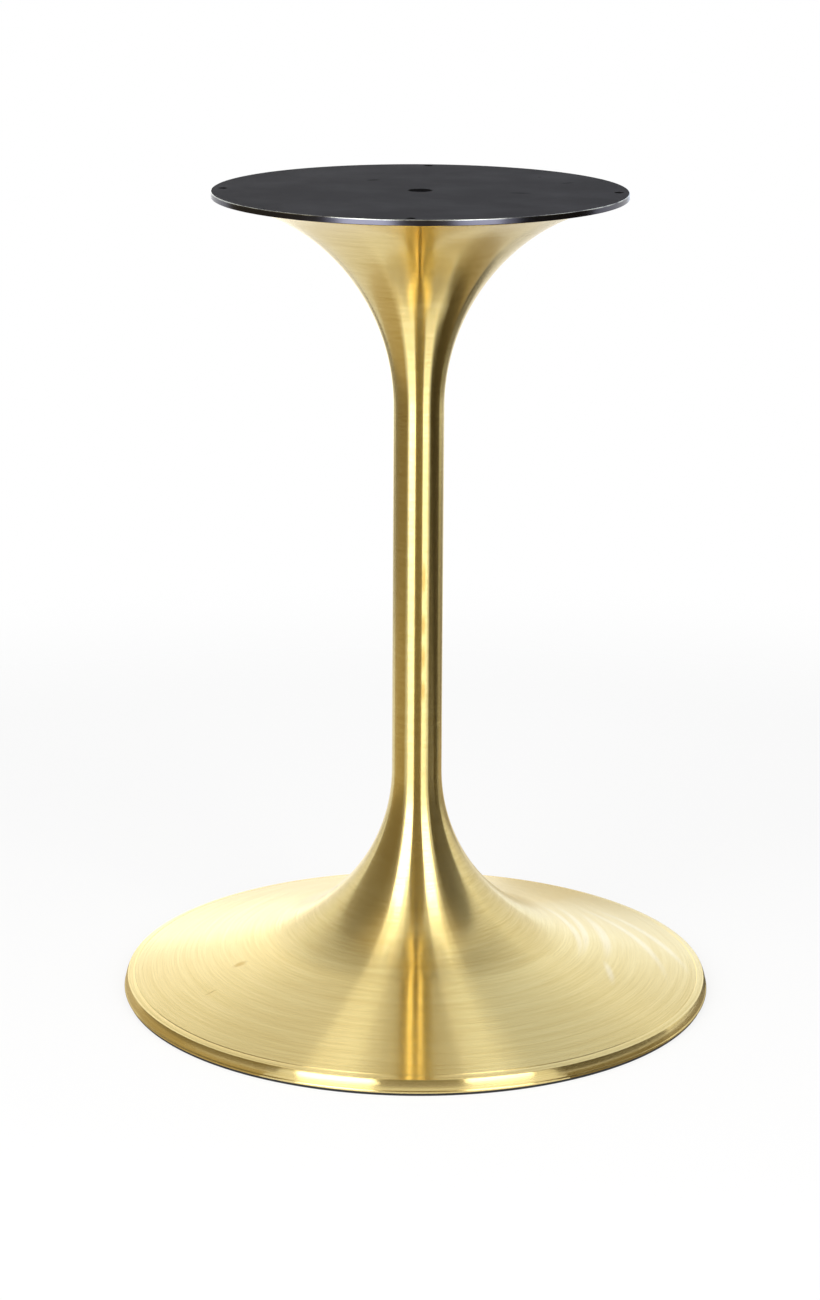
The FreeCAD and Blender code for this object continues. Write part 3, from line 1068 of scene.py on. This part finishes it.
class TULIPBASE_OT_stage(bpy.types.Operator):
    """Set up the floor, the studio cards, the softboxes and the camera"""

    bl_idname = "tulip_base.stage"
    bl_label = "Studio"

    def execute(self, context):
        stage = context.scene.tulip_base.stage
        context.scene.view_settings.view_transform = "Standard"
        self.make_world(context.scene, stage)
        self.make_floor(stage)
        self.make_lamps(stage)
        self.make_cards(stage)
        self.make_camera(context.scene, stage)
        return {"FINISHED"}

    def make_world(self, scene, stage):
        """White to the eye and in the metal, and softer as light on matt surfaces."""
        world = bpy.data.worlds.new("Studio")
        world.use_nodes = True
        tree = world.node_tree
        tree.nodes.clear()
        strength = add_node(
            tree, "ShaderNodeMapRange", {},
            {"Value": plain_sight(tree), "To Min": stage.ambient, "To Max": 1.0},
        ).outputs["Result"]
        light = add_node(
            tree, "ShaderNodeBackground", {}, {"Color": opaque(WHITE), "Strength": strength}
        ).outputs["Background"]
        add_node(tree, "ShaderNodeOutputWorld", {}, {"Surface": light})
        scene.world = world

    def make_floor(self, stage):
        """A pale floor that takes the shadow, fades out far from the object and is clear from below."""
        deselect()
        bpy.ops.mesh.primitive_circle_add(
            vertices=FLOOR_STEPS, radius=stage.floor_radius, fill_type="NGON",
        )
        floor = bpy.context.object
        floor.name = "floor"
        edit_all()
        bpy.ops.mesh.inset(thickness=stage.floor_radius - stage.floor_gap)
        bpy.ops.mesh.delete(type="FACE")
        bpy.ops.object.mode_set(mode="OBJECT")

        material, tree = new_material("Pale studio floor")
        place = add_node(tree, "ShaderNodeTexCoord").outputs["Object"]
        radius = add_node(tree, "ShaderNodeVectorMath", {"operation": "LENGTH"}, {0: place}).outputs["Value"]
        fade = add_node(
            tree, "ShaderNodeMapRange", {"interpolation_type": "SMOOTHSTEP"},
            {"Value": radius, "From Min": stage.floor_fade, "From Max": stage.floor_radius},
        ).outputs["Result"]
        behind = add_node(tree, "ShaderNodeNewGeometry").outputs["Backfacing"]
        clear = add_node(
            tree, "ShaderNodeMath", {"operation": "MAXIMUM"}, {0: fade, 1: behind}
        ).outputs["Value"]
        lift = add_node(
            tree, "ShaderNodeMath", {"operation": "MULTIPLY"}, {0: plain_sight(tree), 1: stage.floor_lift}
        ).outputs["Value"]
        paint = add_node(
            tree, "ShaderNodeBsdfDiffuse", {}, {"Color": opaque(stage.floor_tone)}
        ).outputs["BSDF"]
        white = add_node(tree, "ShaderNodeEmission", {}, {"Color": opaque(WHITE)}).outputs["Emission"]
        lit = add_node(
            tree, "ShaderNodeMixShader", {}, {"Fac": lift, 1: paint, 2: white}
        ).outputs["Shader"]
        nothing = add_node(tree, "ShaderNodeBsdfTransparent").outputs["BSDF"]
        shader = add_node(
            tree, "ShaderNodeMixShader", {}, {"Fac": clear, 1: lit, 2: nothing}
        ).outputs["Shader"]
        show(tree, shader)
        floor.data.materials.append(material)

    def make_lamps(self, stage):
        """Low and high softboxes on both sides of the camera, which lean outwards, and a low one behind."""
        join = stage.lamp_join
        high = stage.lamp_top
        for name, turn, width, lean, foot, top, light in (
            ("left_low_softbox", stage.left_low, stage.left_low_width, stage.left_low_lean,
             stage.left_foot, join, stage.left_light),
            ("left_high_softbox", stage.left_high, stage.left_high_width, stage.left_high_lean,
             join, high, stage.left_light),
            ("right_low_softbox", stage.right_low, stage.right_low_width, -stage.right_low_lean,
             stage.right_foot, join, stage.right_light),
            ("right_high_softbox", stage.right_high, stage.right_high_width, -stage.right_high_lean,
             join, high, stage.right_light),
            ("back_softbox", stage.back_lamp, stage.back_width, 0.0, 0.0, stage.back_top, stage.back_light),
        ):
            bpy.ops.object.light_add(type="AREA")
            lamp = bpy.context.object
            lamp.name = name
            place = heading(turn) * stage.lamp_distance
            place.z = (foot + top) / 2
            facing = Matrix.Rotation(turn, 4, "Z") @ Matrix.Rotation(math.radians(90), 4, "X")
            lamp.matrix_world = Matrix.Translation(place) @ facing @ Matrix.Rotation(lean, 4, "Z")
            lamp.data.shape = "RECTANGLE"
            lamp.data.size = 2 * stage.lamp_distance * math.tan(width / 2)
            lamp.data.size_y = top - foot
            lamp.data.energy = light * math.pi * lamp.data.size * lamp.data.size_y
            lamp.visible_camera = False

    def make_cards(self, stage):
        """Cards seen only in reflections: tall ones round the object, and flat ones on the floor."""
        warm = stage.card_tint
        cool = stage.cool_tint
        wall = stage.card_distance
        # Edges in degrees from the camera's side, radii of foot and top, height where the fade starts,
        # brightness below and above, and tint
        for name, first, last, foot, reach, fade, tone, high_tone, tint in (
            ("front_card", -15.5, 20.0, 0.31, 1.0, 2.5, 0.22, 0.15, warm),
            ("left_card", -125.0, -50.0, 1.3, 1.2, 2.5, 0.18, 0.75, warm),
            ("left_back_card", -157.0, -125.0, 2.38, 1.2, 1.4, 0.85, 0.3, WHITE),
            ("back_card", 171.0, 203.0, 2.38, 1.2, 1.9, 1.2, 0.1, WHITE),
            ("cool_back_card", 157.0, 171.0, 2.38, 1.2, 1.9, 1.45, 0.0, cool),
            ("right_back_card", 125.0, 157.0, 2.38, 1.2, 1.4, 0.85, 0.3, WHITE),
            ("right_card", 52.0, 106.0, 0.5, 1.2, 2.5, 0.06, 0.65, warm),
        ):
            section = [
                at(foot, CARD_LIFT), at(wall, CARD_LIFT),
                at(wall, stage.card_bend), at(reach, stage.card_top),
            ]
            tree = self.make_card(name, section, first, last)
            place = add_node(tree, "ShaderNodeTexCoord").outputs["Object"]
            height = add_node(tree, "ShaderNodeSeparateXYZ", {}, {"Vector": place}).outputs["Z"]
            strength = add_node(
                tree, "ShaderNodeMapRange", {"interpolation_type": "SMOOTHSTEP"},
                {
                    "Value": height, "From Min": fade, "From Max": stage.card_top,
                    "To Min": tone, "To Max": high_tone,
                },
            ).outputs["Result"]
            glow = add_node(tree, "ShaderNodeEmission", {}, {"Color": opaque(tint), "Strength": strength})
            show(tree, glow.outputs["Emission"])

        # Edges in degrees from the camera's side, inner and outer radius, and brightness
        for name, first, last, inner, outer, tone in (
            # Painted shadow: the rim cards darken the floor beside the rim, where the base shades it, in the
            # brass's reflections
            ("left_rim_shadow_card", -125.0, -30.0, 0.262, 0.3, 0.55),
            ("left_floor_card", -125.0, -58.0, 0.3, 1.3, 0.6),
            ("left_back_floor_card", -150.0, -125.0, 1.2, 2.37, 0.15),
            ("right_rim_shadow_card", 30.0, 88.0, 0.262, 0.3, 0.25),
            ("right_floor_card", 88.0, 120.0, 0.262, 0.8, 0.06),
            ("right_back_floor_card", 120.0, 165.0, 0.3, 0.8, 0.5),
            ("right_far_floor_card", 106.0, 150.0, 0.8, 2.37, 0.06),
        ):
            section = [at(inner, CARD_LIFT), at(outer, CARD_LIFT)]
            tree = self.make_card(name, section, first, last)
            glow = add_node(tree, "ShaderNodeEmission", {}, {"Color": opaque(warm), "Strength": tone})
            show(tree, glow.outputs["Emission"])

    def make_card(self, name, section, first, last):
        """Add a card between two edges that only reflections show, and give its material's tree."""
        card = turned(name, section, CARD_STEPS, sweep=math.radians(last - first))
        # The spin runs clockwise from the X axis, so the card's right-hand edge is turned to its place
        turn = math.radians(90 - last)
        edit_all()
        bpy.ops.transform.rotate(value=turn, orient_axis="Z", center_override=(0, 0, 0))
        bpy.ops.object.mode_set(mode="OBJECT")
        material, tree = new_material(name)
        card.data.materials.append(material)
        card.visible_camera = False
        card.visible_diffuse = False
        card.visible_shadow = False
        return tree

    def make_camera(self, scene, stage):
        """The photograph's viewpoint."""
        bpy.ops.object.camera_add()
        camera = bpy.context.object
        place = Matrix.Translation((0, -stage.camera_distance, stage.camera_height))
        yaw = Matrix.Rotation(stage.camera_yaw, 4, "Z")
        tilt = Matrix.Rotation(math.radians(90) - stage.camera_pitch, 4, "X")
        roll = Matrix.Rotation(stage.camera_roll, 4, "Z")
        camera.matrix_world = place @ yaw @ tilt @ roll
        camera.data.lens = stage.camera_lens
        camera.data.sensor_width = SENSOR_WIDTH
        scene.camera = camera


class TULIPBASE_PT_panel(bpy.types.Panel):
    """Buttons and settings of the tulip table base"""

    bl_idname = "TULIPBASE_PT_panel"
    bl_label = "Tulip table base"
    bl_space_type = "VIEW_3D"
    bl_region_type = "UI"
    bl_category = "Tulip base"

    def draw(self, context):
        settings = context.scene.tulip_base
        for operator in operators:
            self.layout.operator(operator.bl_idname)
        for group in (settings.sizes, settings.finish, settings.stage):
            box = self.layout.box()
            for name in group.__annotations__:
                box.prop(group, name)


groups = (TulipBaseSizes, TulipBaseFinish, TulipBaseStage, TulipBaseSettings)
operators = (
    TULIPBASE_OT_top_trumpet,
    TULIPBASE_OT_column_tube,
    TULIPBASE_OT_base_trumpet,
    TULIPBASE_OT_top_plate,
    TULIPBASE_OT_screws,
    TULIPBASE_OT_foot,
    TULIPBASE_OT_stage,
)
classes = (*groups, *operators, TULIPBASE_PT_panel)


def register():
    """Register the classes and hang the settings on the scene."""
    for cls in classes:
        bpy.utils.register_class(cls)
    bpy.types.Scene.tulip_base = PointerProperty(type=TulipBaseSettings)


def unregister():
    """Take the settings and the classes away again."""
    del bpy.types.Scene.tulip_base
    for cls in reversed(classes):
        bpy.utils.unregister_class(cls)


def main():
    """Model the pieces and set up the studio."""
    register()
    bpy.ops.tulip_base.top_trumpet()
    bpy.ops.tulip_base.column_tube()
    bpy.ops.tulip_base.base_trumpet()
    bpy.ops.tulip_base.top_plate()
    bpy.ops.tulip_base.screws()
    bpy.ops.tulip_base.foot()
    bpy.ops.tulip_base.stage()


if __name__ == "__main__":
    main()
